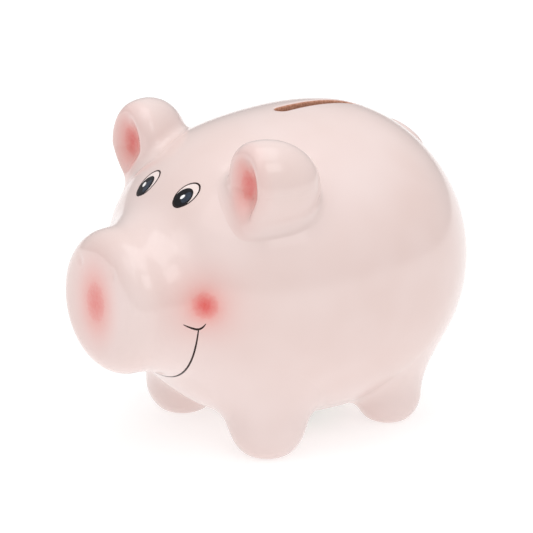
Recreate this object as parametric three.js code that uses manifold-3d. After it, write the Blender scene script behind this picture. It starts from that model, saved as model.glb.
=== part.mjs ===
// A pig-shaped ceramic coin bank: a hollow slip-cast shell of barrel, head and snout, with the ears, legs and tail
// luted on as separate castings, and a soft plug in the belly. Millimetres, +Z up, the snout towards -Y.
// The origin is on the floor, under the centre of the whole bank's bounding box.
import * as THREE from "three";
import { mergeVertices } from "three/addons/utils/BufferGeometryUtils.js";
import Module from "manifold-3d";

const wasm = await Module();
wasm.setup();

// ---- Driving dimensions -------------------------------------------------------------------------------------------

const luteGap = 0.3; // slip joint between the shell and each casting stuck to it
const wall = 4; // thickness of the cast shell
const bellyClearance = 3.2; // floor to the lowest point of the barrel

const barrel = { width: 100, length: 94, height: 99 };
const head = { width: 91, length: 71, height: 86, ahead: 35, rise: 0 }; // placed from the barrel's centre
const snout = { width: 47, height: 45, thickness: 24, rim: 8.5, ahead: 37.5, rise: -1.4, tilt: 3 }; // from the head's
const headBlend = 25; // how softly the head flows into the barrel
const snoutBlend = 10; // how softly the snout flows into the head

const leg = {
  front: 24, // diameters
  rear: 21.6,
  across: 46.4, // between the left and right legs' axes
  along: 48.4, // between the front and rear legs' axes
  ahead: 13.2, // the legs' middle from the barrel's centre
  footFlat: 2, // height of the round end that is taken off to make a flat foot
};
const ear = {
  width: 22.6,
  depth: 33,
  height: 29,
  pinch: 0.35, // share of the width that the lobe loses at its foot
  swing: 35.7, // degrees from straight ahead at which the barrel's centre sees the ear
  lift: 33.5, // degrees above the barrel's centre
  standOff: 4.2, // the lobe's centre beyond the shell's surface
  turnIn: 24, // degrees by which the mouth of the ear faces inwards
  mouth: 8, // the flat mouth of the ear ahead of the lobe's centre
  dishDepth: 6,
  dishRim: 2.5, // width of the rim round the dish
};
const tail = {
  thickness: 4.6,
  radius: 7.5, // the spiral's outer centreline
  pitch: 4.9, // between the spiral's windings
  turns: 1,
  rise: 1.2, // how far the inner end stands off beyond the outer end
  lift: 42, // degrees above the barrel's centre, at the back
  sunk: 1.6, // how deep the cord sits in the rump
};

const slot = { length: 33, width: 5, behind: 0 }; // behind: its middle from the barrel's centre

const plugHole = { diameter: 30, ahead: 12, seatRise: 4.6, seatMargin: 3.2, collar: 4 };
const plug = {
  clearance: 0.35, // all round in the hole
  flangeMargin: 2.2, // flange beyond the hole
  flange: 1.8,
  height: 13, // above the flange
  ridge: 1, // depth of the grooves between the ridges
  ridges: 3,
  skin: 2, // wall of the hollow cup
  grip: 4, // width of the bar across the cup
  gripRecess: 0.8,
};

const outerSkin = { rings: 52, around: 42 };
const innerSkin = { rings: 22, around: 24 };
const roundSides = 36;

// ---- Derived places -----------------------------------------------------------------------------------------------

const barrelCentre = new THREE.Vector3(0, 0, bellyClearance + barrel.height / 2);
const headCentre = barrelCentre.clone().add(new THREE.Vector3(0, -head.ahead, head.rise));
const snoutCentre = headCentre.clone().add(new THREE.Vector3(0, -snout.ahead, snout.rise));
const plugCentreY = barrelCentre.y - plugHole.ahead;
const holeRadius = plugHole.diameter / 2;
const seatHeight = bellyClearance + plugHole.seatRise;
const everything = 4 * (barrel.width + barrel.length + barrel.height); // longer than any cut needs

// ---- Materials ----------------------------------------------------------------------------------------------------

const glaze = new THREE.MeshStandardMaterial({ color: 0xf3dfd8, roughness: 0.12, metalness: 0 });
const softPlastic = new THREE.MeshStandardMaterial({ color: 0xece7e0, roughness: 0.45, metalness: 0 });

// ---- Smooth solid fields: negative inside, about the distance in millimetres ---------------------------------------

function ellipsoidField(point, centre, size) {
  const x = (point.x - centre.x) / (size.width / 2);
  const y = (point.y - centre.y) / (size.length / 2);
  const z = (point.z - centre.z) / (size.height / 2);
  const near = Math.hypot(x, y, z);
  const steep = Math.hypot(x / (size.width / 2), y / (size.length / 2), z / (size.height / 2));
  return (near * (near - 1)) / Math.max(steep, 1e-9);
}

function snoutField(point) {
  const tilt = THREE.MathUtils.degToRad(snout.tilt);
  const y = point.y - snoutCentre.y;
  const z = point.z - snoutCentre.z;
  const along = y * Math.cos(tilt) - z * Math.sin(tilt);
  const up = (y * Math.sin(tilt) + z * Math.cos(tilt)) * (snout.width / snout.height);
  const radial = Math.hypot(point.x - snoutCentre.x, up) - (snout.width / 2 - snout.rim);
  const axial = Math.abs(along) - (snout.thickness / 2 - snout.rim);
  const outside = Math.hypot(Math.max(radial, 0), Math.max(axial, 0));
  return Math.min(Math.max(radial, axial), 0) + outside - snout.rim;
}

function smoothUnion(a, b, blend) {
  const overlap = Math.max(blend - Math.abs(a - b), 0) / blend;
  return Math.min(a, b) - (overlap * overlap * blend) / 4;
}

function shellField(point) {
  const torso = smoothUnion(
    ellipsoidField(point, barrelCentre, barrel),
    ellipsoidField(point, headCentre, head),
    headBlend,
  );
  return smoothUnion(torso, snoutField(point), snoutBlend);
}

// ---- Solids -------------------------------------------------------------------------------------------------------

// A closed geometry as a manifold-3d solid.
function solid(geometry) {
  const bare = geometry.clone();
  bare.deleteAttribute("normal");
  bare.deleteAttribute("uv");
  const merged = mergeVertices(bare, 1e-4);
  const vertProperties = merged.attributes.position.array;
  const triVerts = new Uint32Array(merged.index.array);
  return new wasm.Manifold(new wasm.Mesh({ numProp: 3, vertProperties, triVerts }));
}

function geometryOf(made) {
  const mesh = made.getMesh();
  const geometry = new THREE.BufferGeometry();
  geometry.setAttribute("position", new THREE.BufferAttribute(mesh.vertProperties, 3));
  geometry.setIndex(new THREE.BufferAttribute(mesh.triVerts, 1));
  geometry.computeVertexNormals();
  return geometry;
}

// The distance from a start, along a direction, at which the shell's field first reaches a level.
function reach(start, direction, level) {
  const at = (distance) => shellField(start.clone().addScaledVector(direction, distance)) - level;
  let far = 1;
  while (at(far) < 0) far += 1;
  let near = far - 1;
  for (let halving = 0; halving < 24; halving += 1) {
    const middle = (near + far) / 2;
    if (at(middle) < 0) near = middle;
    else far = middle;
  }
  return far;
}

// The closed skin where the shell's field has a level. Rings of rays fan out from a spine between the snout's centre
// and the barrel's: the ray straight ahead starts at the snout, and the ray straight back starts in the barrel.
function skin(level, { rings, around }) {
  const geometry = new THREE.SphereGeometry(1, around, rings).rotateX(Math.PI / 2);
  const position = geometry.attributes.position;
  for (let corner = 0; corner < position.count; corner += 1) {
    const direction = new THREE.Vector3().fromBufferAttribute(position, corner).normalize();
    const backwards = Math.acos(THREE.MathUtils.clamp(-direction.y, -1, 1)) / Math.PI;
    const start = snoutCentre.clone().lerp(barrelCentre, backwards);
    const met = start.clone().addScaledVector(direction, reach(start, direction, level));
    position.setXYZ(corner, met.x, met.y, met.z);
  }
  return solid(geometry);
}

function block(size, centre) {
  return solid(new THREE.BoxGeometry(...size).translate(...centre));
}

function uprightCylinder(radius, low, high, y) {
  const geometry = new THREE.CylinderGeometry(radius, radius, high - low, roundSides);
  geometry.rotateX(Math.PI / 2);
  geometry.translate(0, y, (low + high) / 2);
  return solid(geometry);
}

function coinSlot() {
  const radius = slot.width / 2;
  const straight = slot.length / 2 - radius;
  const outline = new THREE.Shape();
  outline.absarc(0, straight, radius, 0, Math.PI, false);
  outline.absarc(0, -straight, radius, Math.PI, 2 * Math.PI, false);
  const geometry = new THREE.ExtrudeGeometry(outline, {
    depth: barrel.height,
    bevelEnabled: false,
    curveSegments: 8,
  });
  geometry.translate(0, barrelCentre.y + slot.behind, barrelCentre.z);
  return solid(geometry);
}

// Barrel, head and snout in one hollow casting. The plug's flange sits in a round recess under the belly, and a collar
// keeps the wall's thickness round the hole.
function bodyShell() {
  const seatRadius = holeRadius + plugHole.seatMargin;
  const collar = uprightCylinder(seatRadius, -everything, seatHeight + plugHole.collar, plugCentreY);
  const cavity = skin(-wall, innerSkin).subtract(collar);
  return skin(0, outerSkin)
    .subtract(cavity)
    .subtract(coinSlot())
    .subtract(uprightCylinder(seatRadius, -everything, seatHeight, plugCentreY))
    .subtract(uprightCylinder(holeRadius, -everything, barrelCentre.z, plugCentreY));
}

// What no casting stuck to the shell may enter.
const keepOut = skin(luteGap, outerSkin);
const underFloor = block([everything, everything, everything], [0, 0, -everything / 2]);

function legCasting(side, end) {
  const radius = (end > 0 ? leg.front : leg.rear) / 2;
  const straight = barrelCentre.z - 2 * radius;
  const geometry = new THREE.CapsuleGeometry(radius, straight, 5, 24);
  geometry.rotateX(Math.PI / 2);
  const middle = straight / 2 + radius - leg.footFlat;
  geometry.translate((side * leg.across) / 2, barrelCentre.y - leg.ahead - (end * leg.along) / 2, middle);
  return solid(geometry).subtract(keepOut).subtract(underFloor);
}

// The direction in which the barrel's centre sees a piece, from its swing off dead ahead and its lift.
function sightLine(swing, lift) {
  const turned = THREE.MathUtils.degToRad(swing);
  const raised = THREE.MathUtils.degToRad(lift);
  return new THREE.Vector3(
    Math.sin(turned) * Math.cos(raised),
    -Math.cos(turned) * Math.cos(raised),
    Math.sin(raised),
  );
}

// Narrows an ear-shaped geometry steadily towards its foot.
function pinchFoot(geometry) {
  const position = geometry.attributes.position;
  for (let corner = 0; corner < position.count; corner += 1) {
    const below = Math.max(-position.getZ(corner) / (ear.height / 2), 0);
    position.setX(corner, position.getX(corner) * (1 - ear.pinch * below));
  }
}

// A thick lobe with a flat mouth facing forwards and a dish sunk in the mouth.
function earCasting(side) {
  const lobe = new THREE.SphereGeometry(0.5, 28, 20);
  lobe.rotateX(Math.PI / 2).scale(ear.width, ear.depth, ear.height);
  const ahead = block([everything, everything, everything], [0, -ear.mouth - everything / 2, 0]);
  const dish = new THREE.SphereGeometry(0.5, 20, 14);
  const open = Math.sqrt(1 - (ear.mouth / (ear.depth / 2)) ** 2); // share of the lobe's width left at the mouth
  dish.scale(ear.width * open - 2 * ear.dishRim, 2 * ear.dishDepth, ear.height * open - 2 * ear.dishRim);
  dish.translate(0, -ear.mouth, 0);
  for (const shape of [lobe, dish]) pinchFoot(shape);
  const line = sightLine(side * ear.swing, ear.lift);
  const out = reach(barrelCentre, line, 0) + ear.standOff;
  const centre = barrelCentre.clone().addScaledVector(line, out);
  return solid(lobe)
    .subtract(ahead)
    .subtract(solid(dish))
    .rotate([0, 0, -side * ear.turnIn])
    .translate(centre.toArray())
    .subtract(keepOut);
}

// A round cord curled into a flat spiral and sunk a little into the rump, with its inner end uppermost.
function tailCasting() {
  const outward = sightLine(180, tail.lift);
  const root = barrelCentre.clone().addScaledVector(outward, reach(barrelCentre, outward, 0));
  const across = new THREE.Vector3(1, 0, 0);
  const upward = new THREE.Vector3().crossVectors(across, outward).negate();
  const radius = tail.thickness / 2;
  const points = [];
  const bends = 24;
  for (let bend = 0; bend <= bends; bend += 1) {
    const wound = (bend / bends) * tail.turns;
    const angle = 2 * Math.PI * wound - Math.PI / 2;
    const from = tail.radius - tail.pitch * wound;
    points.push(
      root
        .clone()
        .addScaledVector(across, from * Math.cos(angle))
        .addScaledVector(upward, from * Math.sin(angle))
        .addScaledVector(outward, radius - tail.sunk + tail.rise * wound),
    );
  }
  const section = new THREE.Shape().absarc(0, 0, radius, 0, 2 * Math.PI, false);
  const cord = new THREE.ExtrudeGeometry(section, {
    steps: 2 * bends,
    curveSegments: 10,
    bevelEnabled: false,
    extrudePath: new THREE.CatmullRomCurve3(points),
  });
  const tip = new THREE.SphereGeometry(radius, 12, 8).translate(...points.at(-1).toArray());
  return solid(cord).add(solid(tip)).subtract(keepOut);
}

// A moulded cup that opens downwards, with a flange, ridges that grip the hole, and a bar to pull it by.
function bellyPlug() {
  const body = holeRadius - plug.clearance;
  const groove = body - plug.ridge;
  const inner = groove - plug.skin;
  const flangeRadius = holeRadius + plug.flangeMargin;
  const top = seatHeight - luteGap; // the flange's upper face, just under its seat
  const low = top - plug.flange;
  const crown = top + plug.height;
  const roof = crown - plug.skin;
  const profile = [
    [0, roof],
    [inner, roof],
    [inner, low],
    [flangeRadius - plug.flange / 3, low],
    [flangeRadius, low + plug.flange / 3],
    [flangeRadius, top],
    [groove, top],
  ];
  const pitch = plug.height / (plug.ridges + 1);
  for (let ridge = 1; ridge <= plug.ridges; ridge += 1) {
    profile.push([groove, top + (ridge - 0.45) * pitch]);
    profile.push([body, top + ridge * pitch]);
  }
  profile.push([groove, crown]);
  profile.push([0, crown]);
  const outline = profile.map(([radius, height]) => new THREE.Vector2(radius, height));
  const turned = new THREE.LatheGeometry(outline, roundSides).rotateX(Math.PI / 2);
  turned.translate(0, plugCentreY, 0);
  const foot = low + plug.gripRecess;
  const depth = roof + plug.skin / 2 - foot;
  const bar = block([plug.grip, 2 * inner + plug.skin, depth], [0, plugCentreY, foot + depth / 2]);
  return solid(turned).add(bar);
}

// ---- The bank -----------------------------------------------------------------------------------------------------

const bank = new THREE.Group();

function place(name, made, material) {
  const mesh = new THREE.Mesh(geometryOf(made), material);
  mesh.name = name;
  bank.add(mesh);
}

place("body_shell", bodyShell(), glaze);
for (const [sideName, side] of [["left", 1], ["right", -1]]) {
  place(`${sideName}_ear`, earCasting(side), glaze);
  for (const [endName, end] of [["front", 1], ["rear", -1]]) {
    place(`${endName}_${sideName}_leg`, legCasting(side, end), glaze);
  }
}
place("tail", tailCasting(), glaze);
place("belly_plug", bellyPlug(), softPlastic);

// The frame's origin goes under the middle of the bank's length.
const extent = new THREE.Box3().setFromObject(bank);
bank.position.y = -(extent.min.y + extent.max.y) / 2;

export default bank;
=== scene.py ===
"""The looks of a glazed ceramic piggy bank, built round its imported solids.

The bank is slip-cast earthenware under a pale pink gloss glaze, with airbrushed blushes on the snout, cheeks
and ears, and with painted eyes and a painted smile. Forms are worked out in millimetres in the part's own
frame, and every mesh is written in metres. +Z is up, the snout points towards -Y, and the pig's own left is +X.
"""

import logging
import math
from dataclasses import dataclass, field
from enum import Enum
from typing import Callable

import bpy
import numpy as np
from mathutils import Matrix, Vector


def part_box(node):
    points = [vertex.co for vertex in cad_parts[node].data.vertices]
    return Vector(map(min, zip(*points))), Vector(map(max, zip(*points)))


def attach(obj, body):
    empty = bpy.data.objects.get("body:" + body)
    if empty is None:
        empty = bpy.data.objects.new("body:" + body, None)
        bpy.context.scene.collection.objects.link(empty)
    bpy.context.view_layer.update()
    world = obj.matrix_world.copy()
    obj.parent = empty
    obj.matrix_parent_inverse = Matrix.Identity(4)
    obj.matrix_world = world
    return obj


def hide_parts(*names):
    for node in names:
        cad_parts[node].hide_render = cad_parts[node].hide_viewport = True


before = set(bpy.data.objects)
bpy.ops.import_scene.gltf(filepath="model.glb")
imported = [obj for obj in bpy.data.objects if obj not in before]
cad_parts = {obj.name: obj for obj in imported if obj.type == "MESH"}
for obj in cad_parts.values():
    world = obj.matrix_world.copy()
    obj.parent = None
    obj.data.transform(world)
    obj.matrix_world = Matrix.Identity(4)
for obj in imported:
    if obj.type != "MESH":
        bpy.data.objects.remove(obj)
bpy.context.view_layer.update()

MM = 0.001
Array = np.ndarray
Field = Callable[[Array], Array]
LOG = logging.getLogger("piggy_bank")
UP = np.array([0.0, 0.0, 1.0])
AHEAD = np.array([0.0, -1.0, 0.0])


class Slot(Enum):
    """The record's material slots."""

    CERAMIC = "glazed_ceramic"
    PLUG = "soft_plug"


class Body(Enum):
    """The record's moving bodies."""

    BANK = "bank"
    PLUG = "plug"


# ---- Arithmetic of smooth forms ------------------------------------------------------------------


def unit(vectors: Array) -> Array:
    """Scales vectors to a length of one."""
    return vectors / np.maximum(np.linalg.norm(vectors, axis=-1, keepdims=True), 1e-12)


def smooth_step(value: Array, low: float, high: float) -> Array:
    """Rises from 0 at low to 1 at high, as three times the square less twice the cube."""
    share = np.clip((value - low) / (high - low), 0, 1)
    return share * share * (3 - 2 * share)


def smooth_union(a: Array, b: Array, blend: Array | float) -> Array:
    """Joins two fields: the lesser, less the squared overlap times a quarter of the blend."""
    overlap = np.maximum(blend - np.abs(a - b), 0) / blend
    return np.minimum(a, b) - overlap * overlap * blend / 4


def smooth_cut(a: Array, b: Array, blend: float) -> Array:
    """What two fields share, with the edge between them rounded over the blend."""
    return -smooth_union(-a, -b, blend)


def ellipsoid(points: Array, centre: Array, size: Array) -> Array:
    """About the distance to an ellipsoid: k0 times (k0 - 1) over k1, the scaled radius k0 and its slope k1.

    Args:
        points: where to measure.
        centre: the ellipsoid's middle.
        size: its three whole axes.

    Returns:
        The field, negative inside.
    """
    half = np.asarray(size, float) / 2
    scaled = (points - centre) / half
    near = np.linalg.norm(scaled, axis=-1)
    steep = np.linalg.norm(scaled / half, axis=-1)
    return near * (near - 1) / np.maximum(steep, 1e-9)


def gradient(surface: Field, points: Array) -> Array:
    """The outward unit normal of a field, from central differences a fifth of a millimetre apart."""
    step = np.eye(3) * 0.1
    return unit(np.stack([surface(points + s) - surface(points - s) for s in step], -1))


def march(surface: Field, start: Array, direction: Array, far: float = 90.0) -> Array:
    """Follows rays from outside to a surface, by 80 steps of four fifths of the field.

    Args:
        surface: the field, positive outside.
        start: where the rays begin, outside the form.
        direction: the rays' unit directions, or one direction for all of them.
        far: the longest way that a ray may go.

    Returns:
        The points where the rays meet the surface.
    """
    gone = np.zeros(np.broadcast_shapes(start.shape, direction.shape)[:-1])
    for _ in range(80):
        gone = np.minimum(gone + 0.8 * surface(start + gone[..., None] * direction), far)
    return start + gone[..., None] * direction


def circle(count: int) -> Array:
    """Angles in equal steps once round."""
    return np.linspace(0, 2 * np.pi, count, endpoint=False)


def toward(azimuth: float, elevation: float) -> Array:
    """The unit vector towards a viewer.

    Args:
        azimuth: degrees from dead ahead of the pig towards its left.
        elevation: degrees above level.

    Returns:
        The vector.
    """
    swung, raised = math.radians(azimuth), math.radians(elevation)
    level = math.cos(raised)
    return np.array([math.sin(swung) * level, -math.cos(swung) * level, math.sin(raised)])


def turned(profile: list[tuple[float, float]], axis: Array, columns: int) -> Array:
    """Turns a profile round an upright axis.

    Args:
        profile: a radius and a height for each row.
        axis: the axis in plan.
        columns: how many points each row has.

    Returns:
        The points.
    """
    line = np.array(profile)[:, None]
    ring = np.stack([np.cos(circle(columns)), np.sin(circle(columns))], -1)
    heights = np.broadcast_to(line[..., 1:], (len(profile), columns, 1))
    return np.concatenate([line[..., :1] * ring + axis, heights], -1)


# ---- Meshes --------------------------------------------------------------------------------------


@dataclass
class Sheet:
    """A closed surface on a grid. Its columns close on themselves, and its rows end in poles or close too."""

    points: Array
    poles: bool
    paints: dict[str, Array] = field(default_factory=dict)
    bare_rows: Array | None = None

    def faces(self) -> tuple[list[list[int]], Array]:
        """Four-sided faces between neighbouring rows and columns, and a fan of three-sided ones at each pole.

        Returns:
            The faces' corners, and the material number of each: 1 where its row is bare of glaze.
        """
        rows, columns = self.points.shape[:2]
        across = np.arange(columns)
        after = (across + 1) % columns
        first = np.arange(rows - 1 if self.poles else rows)[:, None]
        following = (first + 1) % rows
        corners = [first * columns + across, following * columns + across]
        corners += [following * columns + after, first * columns + after]
        made = np.stack(np.broadcast_arrays(*corners), -1).reshape(-1, 4).tolist()
        bare = np.zeros(rows, bool) if self.bare_rows is None else self.bare_rows
        kinds = np.repeat(bare[first[:, 0]], columns)
        if self.poles:
            last = (rows - 1) * columns
            pole = np.full(columns, rows * columns)
            made += np.stack([pole, across, after], -1).tolist()
            made += np.stack([pole + 1, last + after, last + across], -1).tolist()
            kinds = np.concatenate([kinds, np.repeat(bare[[0, -1]], columns)])
        return made, kinds.astype(np.int32)

    def in_order(self, grid: Array) -> Array:
        """A grid's values in the order of the mesh's points, with the end rows' means for the poles."""
        flat = grid.reshape(-1, *grid.shape[2:])
        return np.concatenate([flat, grid[:1].mean(1), grid[-1:].mean(1)]) if self.poles else flat

    def build(self, name: str, materials: list[bpy.types.Material], sharp: float = 38.0) -> bpy.types.Object:
        """Makes the object, with its faces outwards and its edges crisp above an angle.

        Args:
            name: the piece's name.
            materials: the glaze, and the bare clay where the piece has any.
            sharp: the angle in degrees above which an edge stays crisp.

        Returns:
            The object, at the origin, unturned and unscaled.
        """
        made, kinds = self.faces()
        mesh = bpy.data.meshes.new(name)
        mesh.from_pydata((self.in_order(self.points) * MM).tolist(), [], made)
        mesh.polygons.foreach_set("material_index", kinds)
        mesh.update()
        if signed_volume(mesh) < 0:
            mesh.flip_normals()
        mesh.shade_smooth()
        mesh.set_sharp_from_angle(angle=math.radians(sharp))
        for key, value in self.paints.items():
            layer = mesh.attributes.new(key, "FLOAT", "POINT")
            layer.data.foreach_set("value", self.in_order(value).astype(np.float32))
        for material in materials:
            mesh.materials.append(material)
        made_object = bpy.data.objects.new(name, mesh)
        bpy.context.scene.collection.objects.link(made_object)
        return made_object


def signed_volume(mesh: bpy.types.Mesh) -> float:
    """Six times the volume inside a mesh, from the boxes that each triangle spans with the origin.

    Args:
        mesh: a closed mesh.

    Returns:
        The volume, negative where the faces point inwards.
    """
    mesh.calc_loop_triangles()
    corners = np.zeros(len(mesh.vertices) * 3)
    mesh.vertices.foreach_get("co", corners)
    index = np.zeros(len(mesh.loop_triangles) * 3, np.int32)
    mesh.loop_triangles.foreach_get("vertices", index)
    a, b, c = (corners.reshape(-1, 3)[index.reshape(-1, 3)[:, k]] for k in range(3))
    return float(np.einsum("ij,ij->i", a, np.cross(b, c)).sum())


def adopt(piece: bpy.types.Object, body: Body, slot: Slot | None, *nodes: str) -> bpy.types.Object:
    """Makes a piece ride on a body and stand for CAD nodes, and reports it.

    Args:
        piece: the piece.
        body: what it moves with.
        slot: the material slot, or None for paint that has no slot of its own; not used.
        nodes: the CAD nodes that it stands for.

    Returns:
        The piece.
    """
    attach(piece, body.value)
    if nodes:
        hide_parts(*nodes)
    LOG.info("%s: %d faces on %s", piece.name, len(piece.data.polygons), body.value)
    return piece


# ---- Finishes ------------------------------------------------------------------------------------


def linear(code: str) -> tuple[float, float, float, float]:
    """Turns an sRGB hex colour to linear light.

    Args:
        code: a hash sign and six hex digits.

    Returns:
        Red, green and blue, and an alpha of 1.
    """
    shares = [int(code[k : k + 2], 16) / 255 for k in (1, 3, 5)]
    red, green, blue = (s / 12.92 if s <= 0.04045 else ((s + 0.055) / 1.055) ** 2.4 for s in shares)
    return red, green, blue, 1.0


def per_metre(grain_mm: float) -> float:
    """The scale of a pattern whose grains are so many millimetres across."""
    return 1 / (grain_mm * MM)


def add_node(tree: bpy.types.NodeTree, kind: str, settings: dict, links: dict) -> bpy.types.Node:
    """Adds a node.

    Args:
        tree: the material's tree.
        kind: the node's type.
        settings: attributes by name, inputs' values by number or by a name that starts with a capital, and a
            ramp's stops, each a position and a hex colour.
        links: what feeds each input: an output, or a node for its first output.

    Returns:
        The node.
    """
    node = tree.nodes.new(kind)
    for key, value in settings.items():
        if isinstance(key, int) or key[0].isupper():
            node.inputs[key].default_value = value
        elif key != "stops":
            setattr(node, key, value)
    for number, (position, code) in enumerate(settings.get("stops", ())):
        elements = node.color_ramp.elements
        element = elements[number] if number < len(elements) else elements.new(position)
        element.position, element.color = position, linear(code)
    for key, source in links.items():
        output = source.outputs[0] if isinstance(source, bpy.types.Node) else source
        tree.links.new(output, node.inputs[key])
    return node


def open_material(name: str) -> tuple[bpy.types.Material, bpy.types.NodeTree, bpy.types.NodeSocket]:
    """Starts a material.

    Args:
        name: the finish's name.

    Returns:
        The material, its tree, and the Object coordinates that its patterns lie on.
    """
    material = bpy.data.materials.new(name)
    material.use_nodes = True
    tree = material.node_tree
    tree.nodes.clear()
    return material, tree, add_node(tree, "ShaderNodeTexCoord", {}, {}).outputs["Object"]


def close_material(tree: bpy.types.NodeTree, constants: dict, links: dict) -> None:
    """Ends a material in one Principled shader, whose steady values stand on its own sockets.

    Args:
        tree: the material's tree.
        constants: the steady values by socket.
        links: what feeds the other sockets.
    """
    shader = add_node(tree, "ShaderNodeBsdfPrincipled", constants, links)
    add_node(tree, "ShaderNodeOutputMaterial", {}, {"Surface": shader})


@dataclass(frozen=True)
class GlossGlaze:
    """Glazed earthenware, dipped and fired: a glassy coat over a pale body.

    It pools faintly, so its colour and gloss vary a little over centimetres, and it has the slow ripple of
    melted glass. Blushes lie under it.
    """

    pale: str = "#EEDAD6"
    warm: str = "#E7CFC9"
    blush: str = "#EBA8A1"
    core: str = "#E0544E"
    core_from: float = 0.55
    full_cover: float = 0.62
    smoothest: float = 0.15
    roughest: float = 0.21
    pooling_mm: float = 34.0
    ripple_mm: float = 26.0
    ripple_deep_mm: float = 0.012
    ripple_strength: float = 0.25
    airbrush_mm: float = 1.1
    airbrush_uneven: float = 0.12

    def material(self) -> bpy.types.Material:
        """Builds the finish, which reads a point attribute named blush.

        Returns:
            The material.
        """
        made, tree, place = open_material("glazed_earthenware_dipped")
        grains = {
            "pools": (self.pooling_mm, 2),
            "gloss": (self.pooling_mm / 3, 2),
            "spray": (self.airbrush_mm, 3),
            "ripple": (self.ripple_mm, 1),
        }
        noise = {
            name: add_node(
                tree, "ShaderNodeTexNoise", {"Scale": per_metre(size), "Detail": detail}, {"Vector": place}
            )
            for name, (size, detail) in grains.items()
        }
        stops = [(0.3, self.warm), (0.7, self.pale)]
        ground = add_node(tree, "ShaderNodeValToRGB", {"stops": stops}, {0: noise["pools"]})
        uneven = {3: 1 - self.airbrush_uneven, 4: 1 + self.airbrush_uneven}
        mist = add_node(tree, "ShaderNodeMapRange", uneven, {0: noise["spray"]})
        paint = add_node(tree, "ShaderNodeAttribute", {"attribute_name": "blush"}, {})
        sprayed = add_node(
            tree, "ShaderNodeMath", {"operation": "MULTIPLY"}, {0: paint.outputs["Fac"], 1: mist}
        )
        stops = [(0.0, self.blush), (self.core_from, self.blush), (1.0, self.core)]
        tint = add_node(tree, "ShaderNodeValToRGB", {"stops": stops}, {0: sprayed})
        cover = add_node(tree, "ShaderNodeMapRange", {1: 0.0, 2: self.full_cover}, {0: sprayed})
        mixed = add_node(tree, "ShaderNodeMix", {"data_type": "RGBA"}, {0: cover, 6: ground, 7: tint})
        gloss = {3: self.smoothest, 4: self.roughest}
        sheen = add_node(tree, "ShaderNodeMapRange", gloss, {0: noise["gloss"]})
        relief = {"Strength": self.ripple_strength, "Distance": self.ripple_deep_mm * MM}
        bump = add_node(tree, "ShaderNodeBump", relief, {"Height": noise["ripple"]})
        constants = {"IOR": 1.52, "Coat Weight": 0.35, "Coat Roughness": 0.09, "Coat IOR": 1.5}
        close_material(tree, constants, {"Base Color": mixed.outputs[2], "Roughness": sheen, "Normal": bump})
        return made


@dataclass(frozen=True)
class BareClay:
    """Unglazed fired earthenware, sponged: matt and finely gritty, with darker and lighter grains. Its warm
    brown is partly the clay's own tone and partly painted shade for the shadowed inside of the slot.
    """

    # the brown of both tones is partly the clay's own and partly painted shade for the shadowed inside of the
    # slot
    light: str = "#DCA68C"
    dark: str = "#BC8066"
    grit_mm: float = 0.6
    grit_deep_mm: float = 0.05
    grit_strength: float = 0.4
    roughness: float = 0.82

    def material(self) -> bpy.types.Material:
        """Builds the finish.

        Returns:
            The material.
        """
        made, tree, place = open_material("bare_earthenware_sponged_and_painted_shade")
        pattern = {"Scale": per_metre(self.grit_mm), "Detail": 4}
        grit = add_node(tree, "ShaderNodeTexNoise", pattern, {"Vector": place})
        stops = [(0.35, self.dark), (0.65, self.light)]
        tone = add_node(tree, "ShaderNodeValToRGB", {"stops": stops}, {0: grit})
        relief = {"Strength": self.grit_strength, "Distance": self.grit_deep_mm * MM}
        bump = add_node(tree, "ShaderNodeBump", relief, {"Height": grit})
        close_material(tree, {"Roughness": self.roughness}, {"Base Color": tone, "Normal": bump})
        return made


@dataclass(frozen=True)
class Enamel:
    """Ceramic paint, brushed on and fired in: glossy like the glaze, and a little uneven in its colour."""

    name: str
    light: str
    dark: str
    stroke_mm: float = 1.4
    smoothest: float = 0.1
    roughest: float = 0.2

    def material(self) -> bpy.types.Material:
        """Builds the finish.

        Returns:
            The material.
        """
        made, tree, place = open_material(self.name)
        pattern = {"Scale": per_metre(self.stroke_mm), "Detail": 3}
        brushed = add_node(tree, "ShaderNodeTexNoise", pattern, {"Vector": place})
        stops = [(0.3, self.dark), (0.7, self.light)]
        tone = add_node(tree, "ShaderNodeValToRGB", {"stops": stops}, {0: brushed})
        gloss = add_node(tree, "ShaderNodeMapRange", {3: self.smoothest, 4: self.roughest}, {0: brushed})
        constants = {"IOR": 1.52, "Specular IOR Level": 0.22}
        close_material(tree, constants, {"Base Color": tone, "Roughness": gloss})
        return made


@dataclass(frozen=True)
class SoftPlastic:
    """Soft PVC, injection moulded: satin and slightly milky, with the fine grain of the mould."""

    light: str = "#E8E2D8"
    dark: str = "#DAD2C6"
    cloud_mm: float = 12.0
    grain_mm: float = 0.8
    grain_deep_mm: float = 0.03
    grain_strength: float = 0.3
    smoothest: float = 0.38
    roughest: float = 0.52
    milky_mm: float = 2.0

    def material(self) -> bpy.types.Material:
        """Builds the finish.

        Returns:
            The material.
        """
        made, tree, place = open_material("soft_pvc_moulded")
        cloud, grain = (
            add_node(tree, "ShaderNodeTexNoise", {"Scale": per_metre(size), "Detail": 2}, {"Vector": place})
            for size in (self.cloud_mm, self.grain_mm)
        )
        stops = [(0.3, self.dark), (0.7, self.light)]
        tone = add_node(tree, "ShaderNodeValToRGB", {"stops": stops}, {0: cloud})
        satin = add_node(tree, "ShaderNodeMapRange", {3: self.smoothest, 4: self.roughest}, {0: grain})
        relief = {"Strength": self.grain_strength, "Distance": self.grain_deep_mm * MM}
        bump = add_node(tree, "ShaderNodeBump", relief, {"Height": grain})
        constants = {"IOR": 1.5, "Subsurface Weight": 0.15, "Subsurface Scale": self.milky_mm * MM}
        close_material(tree, constants, {"Base Color": tone, "Roughness": satin, "Normal": bump})
        return made


# ---- The cast shell ------------------------------------------------------------------------------


def to_mm(corner: Vector) -> Array:
    """A corner of a CAD box in millimetres."""
    return np.array(corner, float) / MM


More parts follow.
